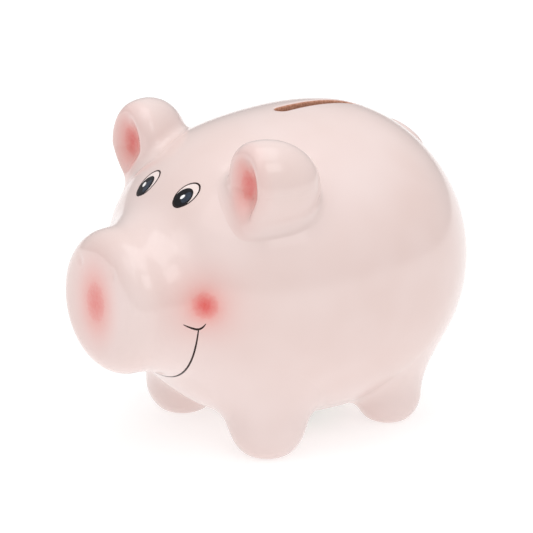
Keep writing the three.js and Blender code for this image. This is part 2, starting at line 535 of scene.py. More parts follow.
SHELL_LOW, SHELL_HIGH = (to_mm(corner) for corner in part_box("body_shell"))
PLUG_LOW, PLUG_HIGH = (to_mm(corner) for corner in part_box("belly_plug"))


@dataclass
class ShellForm:
    """The smooth form of barrel, head and snout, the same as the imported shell's."""

    barrel: tuple[float, float, float] = (100.0, 94.0, 99.0)
    head: tuple[float, float, float] = (91.0, 71.0, 86.0)
    head_ahead: float = 35.0
    head_blend: float = 25.0
    snout_width: float = 47.0
    snout_height: float = 45.0
    snout_thickness: float = 24.0
    snout_rim: float = 8.5
    snout_ahead: float = 37.5
    snout_rise: float = -1.4
    snout_tilt: float = 3.0
    snout_blend: float = 10.0
    wall: float = 4.0
    belly_clearance: float = 3.2
    facet_depth: float = 0.19
    bracket: float = 160.0
    halvings: int = 32
    face_plane_ahead: float = 4.0

    def __post_init__(self) -> None:
        """Places the three forms, with the barrel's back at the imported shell's back."""
        height = self.belly_clearance + self.barrel[2] / 2
        self.barrel_centre = np.array([0.0, SHELL_HIGH[1] - self.barrel[1] / 2, height])
        self.head_centre = self.barrel_centre - [0, self.head_ahead, 0]
        self.snout_centre = self.head_centre + [0, -self.snout_ahead, self.snout_rise]

    def snout(self, points: Array) -> Array:
        """A thick disc with a rounded rim, tilted a little: the distance to its flat core, less the rim.

        Args:
            points: where to measure.

        Returns:
            The snout's field.
        """
        tilt = math.radians(self.snout_tilt)
        away = points - self.snout_centre
        along = away[..., 1] * math.cos(tilt) - away[..., 2] * math.sin(tilt)
        up = away[..., 1] * math.sin(tilt) + away[..., 2] * math.cos(tilt)
        wide = np.hypot(away[..., 0], up * (self.snout_width / self.snout_height))
        radial = wide - (self.snout_width / 2 - self.snout_rim)
        axial = np.abs(along) - (self.snout_thickness / 2 - self.snout_rim)
        outside = np.hypot(np.maximum(radial, 0), np.maximum(axial, 0))
        return np.minimum(np.maximum(radial, axial), 0) + outside - self.snout_rim

    def field(self, points: Array) -> Array:
        """The whole shell's outer field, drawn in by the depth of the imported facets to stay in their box.

        Args:
            points: the places.

        Returns:
            The distance from the skin at each, above zero outside.
        """
        torso = smooth_union(
            ellipsoid(points, self.barrel_centre, self.barrel),
            ellipsoid(points, self.head_centre, self.head),
            self.head_blend,
        )
        return smooth_union(torso, self.snout(points), self.snout_blend) + self.facet_depth

    def reach(self, start: Array, direction: Array, level: float = 0.0) -> Array:
        """Where rays from inside meet a level of the field, by halving a bracket.

        Args:
            start: where the rays begin, inside the form.
            direction: the rays' unit directions, or one direction for all of them.
            level: the field's value to meet.

        Returns:
            The points.
        """
        near = np.zeros(np.broadcast_shapes(start.shape, direction.shape)[:-1])
        far = np.full(near.shape, self.bracket)
        for _ in range(self.halvings):
            middle = (near + far) / 2
            inside = self.field(start + middle[..., None] * direction) < level
            near = np.where(inside, middle, near)
            far = np.where(inside, far, middle)
        return start + far[..., None] * direction

    def spine(self, direction: Array) -> Array:
        """Where a ray starts: between the snout's centre and the barrel's, by its angle off dead ahead."""
        backwards = np.arccos(np.clip(-direction[..., 1:2], -1, 1)) / np.pi
        return self.snout_centre + (self.barrel_centre - self.snout_centre) * backwards

    def face(self, across: Array, height: Array, lift: Array | float = 0.0) -> Array:
        """Puts a drawing made in the front view on the face: rays run ahead from inside the head to the skin.

        Args:
            across: millimetres to the pig's left of the middle.
            height: millimetres above the floor.
            lift: how far the point stands off the skin.

        Returns:
            The points.
        """
        start = np.stack(np.broadcast_arrays(across, self.head_centre[1] - self.face_plane_ahead, height), -1)
        met = self.reach(start, AHEAD)
        return met + gradient(self.field, met) * np.broadcast_to(lift, met.shape[:-1])[..., None]


@dataclass
class CastShell:
    """Barrel, head and snout in one hollow casting, with a slot in its back and a plug's seat below."""

    form: ShellForm
    slot_length: float = 33.0
    slot_width: float = 5.0
    slot_lip: float = 1.0
    slot_wall_top: float = 2.2
    hole_radius: float = 15.0
    seat_margin: float = 3.2
    seat_above_plug: float = 0.3
    plug_flange: float = 1.8
    seat_lip: float = 0.9
    collar: float = 4.0
    collar_gap: float = 0.05
    ease: float = 0.3
    nostril_across: float = 9.1
    nostril_height: float = 63.4
    nostril_radius: float = 1.25
    nostril_deep: float = 0.55
    cheek_across: float = 27.9
    cheek_height: float = 55.0
    cheek_core: float = 4.6
    cheek_core_depth: float = 0.62
    cheek_halo: float = 10.0
    cheek_halo_depth: float = 0.36
    snout_blush_height: float = 52.6
    snout_blush_width: float = 8.6
    snout_blush_tall: float = 10.8
    snout_blush_depth: float = 0.8
    snout_fade: tuple[float, float] = (3.0, 9.0)
    columns: int = 288
    slot_wall_rows: int = 4
    slot_lip_rows: int = 8
    outer_rows: int = 180
    seat_lip_rows: int = 6
    inner_rows: int = 54

    def __post_init__(self) -> None:
        """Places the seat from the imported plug, whose flange lies just under it."""
        self.plug_y = (PLUG_LOW[1] + PLUG_HIGH[1]) / 2
        self.seat = PLUG_LOW[2] + self.plug_flange + self.seat_above_plug
        self.turn = circle(self.columns)

    def slot_ring(self, grown: float) -> Array:
        """The slot's outline, a straight-sided oval, grown outwards: a circle's middle slides along the slot.

        Equal steps go round the outline from the middle of its +X side, by half a side, a bend, the other side,
        a bend and half a side. The middle slides along the sides, and the circle turns in the bends.

        Args:
            grown: how far outside the slot.

        Returns:
            The outline in plan.
        """
        radius = self.slot_width / 2 + grown
        straight = self.slot_length / 2 - self.slot_width / 2
        bend = np.pi * radius
        corners = np.cumsum([0, straight, bend, 2 * straight, bend, straight])
        gone = self.turn / (2 * np.pi) * corners[-1]
        along = np.interp(gone, corners, [0, straight, straight, -straight, -straight, 0])
        angle = np.interp(gone, corners, [0, 0, np.pi, np.pi, 2 * np.pi, 2 * np.pi])
        x = radius * np.cos(angle)
        y = self.form.barrel_centre[1] + along + radius * np.sin(angle)
        return np.stack([x, y], -1)

    def hole_ring(self, radius: float) -> Array:
        """A circle round the plug's axis."""
        return np.stack([radius * np.cos(self.turn), self.plug_y + radius * np.sin(self.turn)], -1)

    def upright(self, ring: Array, up: float, level: float = 0.0) -> Array:
        """Where upright lines over a ring meet a level of the shell, above or below."""
        start = np.concatenate([ring, np.full((self.columns, 1), self.form.barrel_centre[2])], -1)
        return self.form.reach(start, up * UP, level)

    def skin_rows(self, rows: int, top: Array, bottom: Array, level: float) -> Array:
        """Rows of the skin from a ring at the top to a ring at the bottom.

        Each ray's direction falls from straight up to straight down. It starts over the top ring at first, then
        on the spine, and at last over the bottom ring, with smooth shares between the three.

        Args:
            rows: how many rows.
            top: the upper ring.
            bottom: the lower ring.
            level: the field's level.

        Returns:
            The points.
        """
        fall = np.linspace(0, np.pi, rows)[:, None]
        flat = np.stack([np.cos(self.turn), np.sin(self.turn)], -1)
        rise = np.broadcast_to(np.cos(fall)[..., None], (rows, self.columns, 1))
        direction = np.concatenate([np.sin(fall)[..., None] * flat, rise], -1)
        raised = np.full((self.columns, 1), self.form.barrel_centre[2])
        above = np.concatenate([top, raised], -1)
        below = np.concatenate([bottom, raised], -1)
        at_top = 1 - smooth_step(fall, 0, 0.5 * np.pi)[..., None]
        at_bottom = smooth_step(fall, 0.5 * np.pi, np.pi)[..., None]
        start = self.form.spine(direction) * (1 - at_top - at_bottom) + above * at_top + below * at_bottom
        return self.form.reach(start, direction, level)

    def lip_rows(self, ring_of: Callable[[float], Array], radius: float, up: float, rows: int) -> Array:
        """A rounded edge: the skin sinks as a quarter circle of the distance from the opening.

        Args:
            ring_of: the opening's outline grown by a distance.
            radius: the edge's radius.
            up: 1 for an opening above, -1 for one below.
            rows: how many rows, from the opening outwards.

        Returns:
            The points.
        """
        made = []
        for angle in np.linspace(0, np.pi / 2, rows, endpoint=False):
            out = radius * (1 - math.cos(angle))
            met = self.upright(ring_of(out), up)
            met[:, 2] -= up * (radius - radius * math.sin(angle))
            made.append(met)
        return np.stack(made)

    def seating(self, seat_radius: float) -> Array:
        """The plug's seat and the collar over it, a profile with eased edges that turns round the plug's axis.

        Args:
            seat_radius: the radius of the recess that the plug's flange lies in.

        Returns:
            The points.
        """
        hole, ease, top = self.hole_radius, self.ease, self.seat + self.collar
        profile = [(seat_radius, self.seat - ease), (seat_radius - ease, self.seat), (hole + ease, self.seat)]
        profile += [(hole, self.seat + ease), (hole, top - ease), (hole + ease, top)]
        profile += [(seat_radius - ease, top)]
        return turned(profile, np.array([0.0, self.plug_y]), self.columns)

    def from_spot(self, points: Array, across: float, height: float) -> Array:
        """How far points lie from a spot on the face that is given in the front view."""
        return np.linalg.norm(points - self.form.face(np.array(across), np.array(height)), axis=-1)

    def dent_nostrils(self, points: Array) -> Array:
        """Sinks two dimples in the snout, each as deep as a bell curve of the distance from its middle.

        Args:
            points: the skin.

        Returns:
            The dented skin.
        """
        for side in (-1, 1):
            away = self.from_spot(points, side * self.nostril_across, self.nostril_height)
            deep = self.nostril_deep * np.exp(-((away / self.nostril_radius) ** 2))
            points = points - deep[..., None] * AHEAD
        return points

    def blush(self, points: Array) -> Array:
        """Airbrushed colour: two bell curves round each cheek, and a tall one in the middle of the snout.

        Args:
            points: the skin.

        Returns:
            The depth of colour, from 0 to 1.
        """
        wide = points[..., 0] / self.snout_blush_width
        tall = (points[..., 2] - self.snout_blush_height) / self.snout_blush_tall
        near = 1 - smooth_step(points[..., 1] - SHELL_LOW[1], *self.snout_fade)
        colour = self.snout_blush_depth * np.exp(-(wide**2 + tall**2)) * near
        for side in (-1, 1):
            away = self.from_spot(points, side * self.cheek_across, self.cheek_height)
            core = self.cheek_core_depth * np.exp(-((away / self.cheek_core) ** 2))
            halo = self.cheek_halo_depth * np.exp(-((away / self.cheek_halo) ** 2))
            colour = np.maximum(colour, core + halo)
        return colour

    def build(self, glaze: bpy.types.Material, clay: bpy.types.Material) -> bpy.types.Object:
        """Joins every band of rows into one closed wall, glazed outside and bare within.

        Args:
            glaze: the outside's finish.
            clay: the inside's, the slot's and the seat's.

        Returns:
            The shell.
        """
        wall, seat_radius = self.form.wall, self.hole_radius + self.seat_margin
        slot, seat = self.slot_ring(0.0), self.hole_ring(seat_radius)
        depths = np.linspace(wall, self.slot_wall_top, self.slot_wall_rows)[1:]
        slot_wall = np.stack([self.upright(slot, 1.0, -depth) for depth in depths])
        slot_lip = self.lip_rows(self.slot_ring, self.slot_lip, 1.0, self.slot_lip_rows)
        foot = self.hole_ring(seat_radius + self.seat_lip)
        outside = self.skin_rows(self.outer_rows, self.slot_ring(self.slot_lip), foot, 0.0)
        seat_lip = self.lip_rows(
            lambda out: self.hole_ring(seat_radius + out), self.seat_lip, -1.0, self.seat_lip_rows
        )
        collar_foot = self.upright(seat, -1.0, -wall)
        collar_foot[:, 2] = np.minimum(collar_foot[:, 2], self.seat + self.collar - self.collar_gap)
        inside = self.skin_rows(self.inner_rows, slot, seat, -wall)[::-1]
        skin = [slot_lip, self.dent_nostrils(outside), seat_lip[::-1]]
        points = np.concatenate([slot_wall, *skin, self.seating(seat_radius), collar_foot[None], inside[1:]])
        # the glaze starts halfway round the slot's lip, and ends where the plug's seat begins
        row = np.arange(len(points))
        glaze_from = len(slot_wall) + self.slot_lip_rows // 2
        glaze_to = len(slot_wall) + sum(len(band) for band in skin)
        bare = (row < glaze_from) | (row >= glaze_to)
        sheet = Sheet(points, False, {"blush": self.blush(points)}, bare)
        return adopt(sheet.build("cast_shell", [glaze, clay]), Body.BANK, Slot.CERAMIC, "body_shell")


# ---- Castings luted to the shell -----------------------------------------------------------------


@dataclass(frozen=True)
class Root:
    """How a casting ends: its last rows sink just under the shell's skin, and it closes inside the wall."""

    form: ShellForm
    sinks: float = 0.03
    sinks_after: int = 18
    dip: float = 0.25
    deep: float = 1.5
    core_deep: float = 1.8
    closing_rows: int = 5

    def settle(self, fillet: Array) -> Array:
        """Sinks the last rows by a share of the whole sinking that grows steadily.

        Args:
            fillet: the fillet's rows, of which the last lies on the skin.

        Returns:
            The rows.
        """
        rows = np.arange(len(fillet))
        share = np.linspace(1, -1, len(fillet)) * (rows > self.sinks_after)
        return fillet + self.sinks * share[:, None, None] * gradient(self.form.field, fillet[-1])

    def close(self, landed: Array, rim: Array, middle: Array) -> Array:
        """Closes the casting: from the rim a dip, then a deep ring, and then rings that shrink to a middle.

        Args:
            landed: the fillet's last row before it sank.
            rim: the same row after it sank.
            middle: a point on the skin at the casting's middle.

        Returns:
            The closing rows.
        """
        outward = gradient(self.form.field, landed)
        low = rim - outward * self.deep
        core = middle - gradient(self.form.field, middle) * self.core_deep
        shares = np.linspace(0, 0.95, self.closing_rows)[:, None, None]
        return np.concatenate([(rim - outward * self.dip)[None], low + (core - low) * shares])


@dataclass
class Leg:
    """A round stub with a small flat sole, and the slip's soft fillet where it meets the belly."""

    form: ShellForm
    node: str
    radius: float
    foot_flat: float = 2.0
    sole_edge: float = 1.4
    sole_inset: float = 0.7
    widest_fillet: float = 8.0
    plug_fillet: float = 2.4
    plug_spread: float = 40.0
    past_fillet: float = 0.2
    least_drop: float = 1.2
    drop_share: float = 0.9
    lowest_root: float = 1.6
    least_sweep: float = 0.15
    columns: int = 128
    sole_rows: int = 9
    bare_rows: int = 8
    side_rows: int = 30
    fillet_rows: int = 26

    def __post_init__(self) -> None:
        """Places the leg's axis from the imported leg's box."""
        low, high = (to_mm(corner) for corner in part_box(self.node))
        side = 1 if low[0] + high[0] > 0 else -1
        outer = max(abs(low[0]), abs(high[0]))
        across, along = side * (outer - self.radius), (low[1] + high[1]) / 2
        self.axis = np.array([across, along, self.radius - self.foot_flat])
        plug_middle = np.array([0.0, (PLUG_LOW[1] + PLUG_HIGH[1]) / 2])
        self.to_plug = math.atan2(plug_middle[1] - self.axis[1], plug_middle[0] - self.axis[0])

    def fillet(self, angle: Array) -> Array:
        """The fillet's reach by direction round the leg: less towards the plug, by a bell curve.

        Args:
            angle: the direction round the leg's axis.

        Returns:
            The reach.
        """
        off = np.angle(np.exp(1j * (angle - self.to_plug)))
        bell = np.exp(-((off / math.radians(self.plug_spread)) ** 2))
        return self.widest_fillet - (self.widest_fillet - self.plug_fillet) * bell

    def stub(self, points: Array) -> Array:
        """An upright rod with a ball end, cut flat at the floor with a rounded edge.

        Args:
            points: the places.

        Returns:
            The distance from the rod at each, above zero outside.
        """
        away = points - self.axis
        rod = np.sqrt(away[..., 0] ** 2 + away[..., 1] ** 2 + np.minimum(away[..., 2], 0) ** 2) - self.radius
        return smooth_cut(rod, -points[..., 2], self.sole_edge)

    def field(self, points: Array) -> Array:
        """The stub and the shell in one smooth form."""
        angle = np.arctan2(points[..., 1] - self.axis[1], points[..., 0] - self.axis[0])
        return smooth_union(self.form.field(points), self.stub(points), self.fillet(angle))

    def build(self, glaze: bpy.types.Material, clay: bpy.types.Material) -> bpy.types.Object:
        """Lays rows from the sole's middle, up the stub and out over the fillet, and closes them in the wall.

        Args:
            glaze: the leg's finish.
            clay: the sole's.

        Returns:
            The leg.
        """
        turn = circle(self.columns)
        out = np.stack([np.cos(turn), np.sin(turn), 0 * turn], -1)
        in_plan = self.axis * [1, 1, 0]
        flat_radius = math.sqrt(self.radius**2 - self.axis[2] ** 2) - self.sole_inset
        reach = (self.radius + self.fillet(turn) + self.past_fillet)[:, None]
        rim = march(self.form.field, in_plan + out * reach - 30 * UP, UP)
        outer = rim - UP * np.maximum(self.least_drop, self.drop_share * self.fillet(turn))[:, None]
        outer[:, 2] = np.maximum(outer[:, 2], self.lowest_root)
        # the sole, from below
        share = np.linspace(0.06, 1, self.sole_rows)[:, None, None]
        sole = march(self.field, in_plan + out * flat_radius * share - 4 * UP, UP)
        # up the ball and then the rod, by equal steps along the outline to the fillet's level
        first = math.atan2(flat_radius, self.axis[2])
        climb = outer[:, 2] - self.axis[2]
        last = np.where(climb < 0, np.arccos(np.clip(-climb / self.radius, 0, 1)), np.pi / 2)
        last = np.maximum(last, first + self.least_sweep)
        length = self.radius * (last - first) + np.maximum(climb, 0)
        gone = np.linspace(0.04, 1, self.side_rows)[:, None] * length
        lean = np.minimum(first + gone / self.radius, last)
        raised = np.maximum(gone - self.radius * (np.pi / 2 - first), 0)[..., None] * UP
        normal = out * np.sin(lean)[..., None] - UP * np.cos(lean)[..., None]
        side = march(self.field, self.axis + raised + normal * reach, -normal)
        # over the fillet: rays from one outer point turn from the stub to straight up
        toward = unit(side[-1] - outer)
        turned_by = np.linspace(0.04, 1, self.fillet_rows)[:, None]
        tilt = np.arccos(np.clip(toward[:, 2], -1, 1)) * (1 - turned_by)
        rays = unit(toward * [1, 1, 0]) * np.sin(tilt)[..., None] + UP * np.cos(tilt)[..., None]
        landed = march(self.field, outer, rays)
        root = Root(self.form)
        fillet = root.settle(landed)
        middle = march(self.form.field, in_plan - 30 * UP, UP)
        points = np.concatenate([sole, side, fillet, root.close(landed[-1], fillet[-1], middle)])
        bare = np.arange(len(points)) < self.bare_rows
        sheet = Sheet(points, True, {"blush": np.zeros(points.shape[:-1])}, bare)
        made = sheet.build(self.node.replace("leg", "stub"), [glaze, clay])
        return adopt(made, Body.BANK, Slot.CERAMIC, self.node)


@dataclass
class Ear:
    """A thick lobe with a rounded mouth that faces forwards, and a leaf-shaped dish, pointed below."""

    form: ShellForm
    side: int
    size: tuple[float, float, float] = (22.6, 33.0, 29.0)
    pinch: float = 0.35
    swing: float = 35.7
    lift: float = 33.5
    stand_off: float = 4.2
    turn_in: float = 24.0
    mouth_turn_in: float = 8.0
    mouth: float = 8.0
    mouth_round: float = 4.5
    dish_deep: float = 4.2
    dish_half_width: float = 7.6
    dish_out: float = 0.9
    dish_half_height: float = 11.6
    dish_point: float = 0.55
    dish_raised: float = 0.6
    dish_edge: tuple[float, float] = (0.4, 4.5)
    mouth_edge: tuple[float, float] = (-5.5, -1.5)
    wash_depth: float = 0.4
    wash_spread: float = 0.9
    core_depth: float = 0.48
    core_across: float = -1.6
    core_raised: float = 1.4
    core_size: tuple[float, float] = (3.6, 6.4)
    blend: float = 4.0
    past_fillet: float = 0.4
    root_lift: float = 4.6
    hub_lift: float = 4.0
    crown_lift: float = 0.8
    columns: int = 168
    dome_rows: int = 54
    side_rows: int = 21
    fillet_rows: int = 25

    def __post_init__(self) -> None:
        """Places the lobe on the line by which the barrel's centre sees it."""
        self.axis = toward(self.side * self.swing, self.lift)
        self.foot = self.form.reach(self.form.barrel_centre, self.axis)
        self.centre = self.foot + self.axis * self.stand_off
        self.sideways, self.back = self.level_axes(self.turn_in)
        self.mouth_across, self.mouth_back = self.level_axes(self.mouth_turn_in)

    def level_axes(self, turn_in: float) -> tuple[Array, Array]:
        """The axes sideways and backwards of what is turned in by some degrees."""
        yaw = math.radians(self.side * turn_in)
        return np.array([math.cos(yaw), -math.sin(yaw), 0.0]), np.array([math.sin(yaw), math.cos(yaw), 0.0])

    def local(self, points: Array) -> Array:
        """Coordinates in the lobe, in which its pinched foot is as wide as its middle.

        Args:
            points: where to measure.

        Returns:
            The points' places sideways, backwards from the mouth, and up.
        """
        away = points - self.centre
        below = np.clip(-away[..., 2] / (self.size[2] / 2), 0, 1.2)
        wide = (away @ self.sideways) / (1 - self.pinch * below)
        return np.stack([wide, away @ self.back, away[..., 2]], -1)

    def lobe(self, points: Array) -> Array:
        """An ellipsoid cut by the mouth's plane, with the rim between them rounded."""
        whole = ellipsoid(self.local(points), np.zeros(3), self.size)
        return smooth_cut(whole, -((points - self.centre) @ self.mouth_back) - self.mouth, self.mouth_round)

    def field(self, points: Array) -> Array:
        """The lobe and the shell in one smooth form."""
        return smooth_union(self.form.field(points), self.lobe(points), self.blend)

    def leaf(self, points: Array) -> tuple[Array, Array]:
        """The leaf-shaped dish, an oval whose width falls off below its middle.

        Args:
            points: the skin.

        Returns:
            How far each point lies from the dish's middle, 1 at its edge, and how far it is on the mouth, from
            0 to 1.
        """
        here = points - self.centre
        up = (here[..., 2] - self.dish_raised) / self.dish_half_height
        narrow = 1 - self.dish_point * smooth_step(-up, 0.0, 1.0)
        wide = (here @ self.mouth_across - self.side * self.dish_out) / (self.dish_half_width * narrow)
        on_mouth = 1 - smooth_step(here @ self.mouth_back, *self.mouth_edge)
        return np.hypot(wide, up), on_mouth

    def build(self, glaze: bpy.types.Material) -> bpy.types.Object:
        """Lays rows from the lobe's top, down its sides and out over the fillet, then sinks the dish.

        Args:
            glaze: the ear's finish.

        Returns:
            The ear.
        """
        turn = circle(self.columns)[:, None]
        across = unit(np.cross(UP, self.axis))
        out = np.cos(turn) * across + np.sin(turn) * np.cross(self.axis, across)
        hub = self.foot + self.axis * self.hub_lift
        inward = march(self.lobe, hub + out * 40.0, -out)
        reach = (np.linalg.norm(inward - hub, axis=-1) + self.blend + self.past_fillet)[:, None]
        rim = march(self.form.field, hub + out * reach + self.axis * 30.0, -self.axis)
        outer = rim + self.axis * self.root_lift
        crown = float(((outer - self.foot) @ self.axis).max()) + self.crown_lift
        focus = self.foot + self.axis * crown
        lean = np.linspace(0.02, 1, self.dome_rows)[:, None, None] * (np.pi / 2)
        normal = self.axis * np.cos(lean) + out * np.sin(lean)
        dome = march(self.field, focus + normal * 38.0, -normal)
        fall = np.linspace(0, 1, self.side_rows + 1)[1:, None, None]
        side = march(self.field, (focus + out * reach) * (1 - fall) + outer * fall, -out)
        bend = np.linspace(0, 1, self.fillet_rows + 1)[1:, None, None] * (np.pi / 2)
        landed = march(self.field, outer, -out * np.cos(bend) - self.axis * np.sin(bend))
        root = Root(self.form)
        fillet = root.settle(landed)
        skin = np.concatenate([dome, side, fillet])
        away, on_mouth = self.leaf(skin)
        clear = smooth_step(self.form.field(skin), *self.dish_edge)
        deep = self.dish_deep * np.clip(1 - away**2, 0, 1) ** 1.5 * on_mouth * clear
        closing = root.close(landed[-1], fillet[-1], self.foot)
        paint = np.concatenate([self.blush(skin, away, on_mouth), np.zeros(closing.shape[:-1])])
        points = np.concatenate([skin + self.mouth_back * deep[..., None], closing])
        name = "left" if self.side > 0 else "right"
        made = Sheet(points, True, {"blush": paint}).build(f"{name}_ear_lobe", [glaze])
        return adopt(made, Body.BANK, Slot.CERAMIC, f"{name}_ear")

    def blush(self, points: Array, away: Array, on_mouth: Array) -> Array:
        """Airbrushed colour: a soft wash that fades past the dish's edge, with a core beside its middle.

        Args:
            points: the skin.
            away: how far each point lies from the dish's middle.
            on_mouth: how far it is on the mouth.

        Returns:
            The depth of colour, from 0 to 1.
        """
        here = points - self.centre
        wide, tall = self.core_size
        wash = self.wash_depth * np.exp(-((away / self.wash_spread) ** 2))
        across = (here @ self.mouth_across - self.core_across) / wide
        up = (here[..., 2] - self.core_raised) / tall
        return (wash + self.core_depth * np.exp(-(across**2 + up**2))) * on_mouth


@dataclass
class Tail:
    """A round cord curled flat on the rump, thinning to its tip, and sunk a little into the skin."""

    form: ShellForm
    thickness: float = 4.6
    tip: float = 2.6
    radius: float = 7.5
    pitch: float = 4.9
    turns: float = 1.0
    rise: float = 0.5
    lift: float = 42.0
    sunk: float = 3.1
    blend: float = 2.2
    rows: int = 120
    columns: int = 28

    def build(self, glaze: bpy.types.Material) -> bpy.types.Object:
        """Carries a circle along the flat spiral, and swells it where the cord meets the skin.

        Args:
            glaze: the tail's finish.

        Returns:
            The tail.
        """
        raised = math.radians(self.lift)
        outward = np.array([0.0, math.cos(raised), math.sin(raised)])
        root = self.form.reach(self.form.barrel_centre, outward)
        across = np.array([1.0, 0.0, 0.0])
        upward = -np.cross(across, outward)
        wound = np.linspace(0, self.turns, self.rows)[:, None]
        angle = 2 * np.pi * wound - np.pi / 2
        from_middle = self.radius - self.pitch * wound
        path = root + from_middle * (across * np.cos(angle) + upward * np.sin(angle))
        path = path + outward * (self.thickness / 2 - self.sunk + self.rise * wound)
        along = unit(np.gradient(path, axis=0))
        beside = unit(np.cross(along, outward))
        over = np.cross(beside, along)
        thinned = smooth_step(wound, 0.3, self.turns)
        radius = (self.thickness + (self.tip - self.thickness) * thinned) / 2
        ring = circle(self.columns)[:, None]
        rays = beside[:, None] * np.cos(ring) + over[:, None] * np.sin(ring)
        tube = path[:, None] + rays * radius[:, None]
        gap = self.form.field(tube)
        swell = np.clip(self.blend - np.abs(gap), 0, self.blend) ** 2 / (4 * self.blend)
        tube = tube + rays * swell[..., None]
        # half a ball closes each end, and the first one is buried in the rump
        bend = np.linspace(np.pi / 2, 0.12, 8)[1:, None, None]
        cap = path[-1] + radius[-1] * (along[-1] * np.cos(bend) + rays[-1] * np.sin(bend))
        foot = path[0] + radius[0] * (-along[0] * np.cos(bend) + rays[0] * np.sin(bend))
        points = np.concatenate([foot[::-1], tube, cap])
        sheet = Sheet(points, True, {"blush": np.zeros(points.shape[:-1])})
        return adopt(sheet.build("curled_tail", [glaze]), Body.BANK, Slot.CERAMIC, "tail")


# ---- Paint on the face ---------------------------------------------------------------------------


@dataclass(frozen=True)
class Oval:
    """An oval of paint in the front view: its middle, its half sizes and its tilt in degrees."""

    across: float
    height: float
    long: float
    short: float
    tilt: float

    def edge(self, share: Array, turn: Array) -> tuple[Array, Array]:
        """Points of the oval, or of a smaller one inside it.

        Args:
            share: how large, 1 at the oval's edge.
            turn: the points' angles round it.

        Returns:
            The points' places sideways and upwards.
        """
        lean = math.radians(self.tilt)
        u, v = share * self.long * np.cos(turn), share * self.short * np.sin(turn)
        return (
            self.across + u * math.cos(lean) - v * math.sin(lean),
            self.height + u * math.sin(lean) + v * math.cos(lean),
        )


class Coat(Enum):
    """How far a coat of paint stands off the skin, in millimetres, so that each covers the ones before it."""

    GROUND = 0.0
    TICK = 0.02
    FIGURE = 0.05
    SHADE = 0.09
    GLINT = 0.14


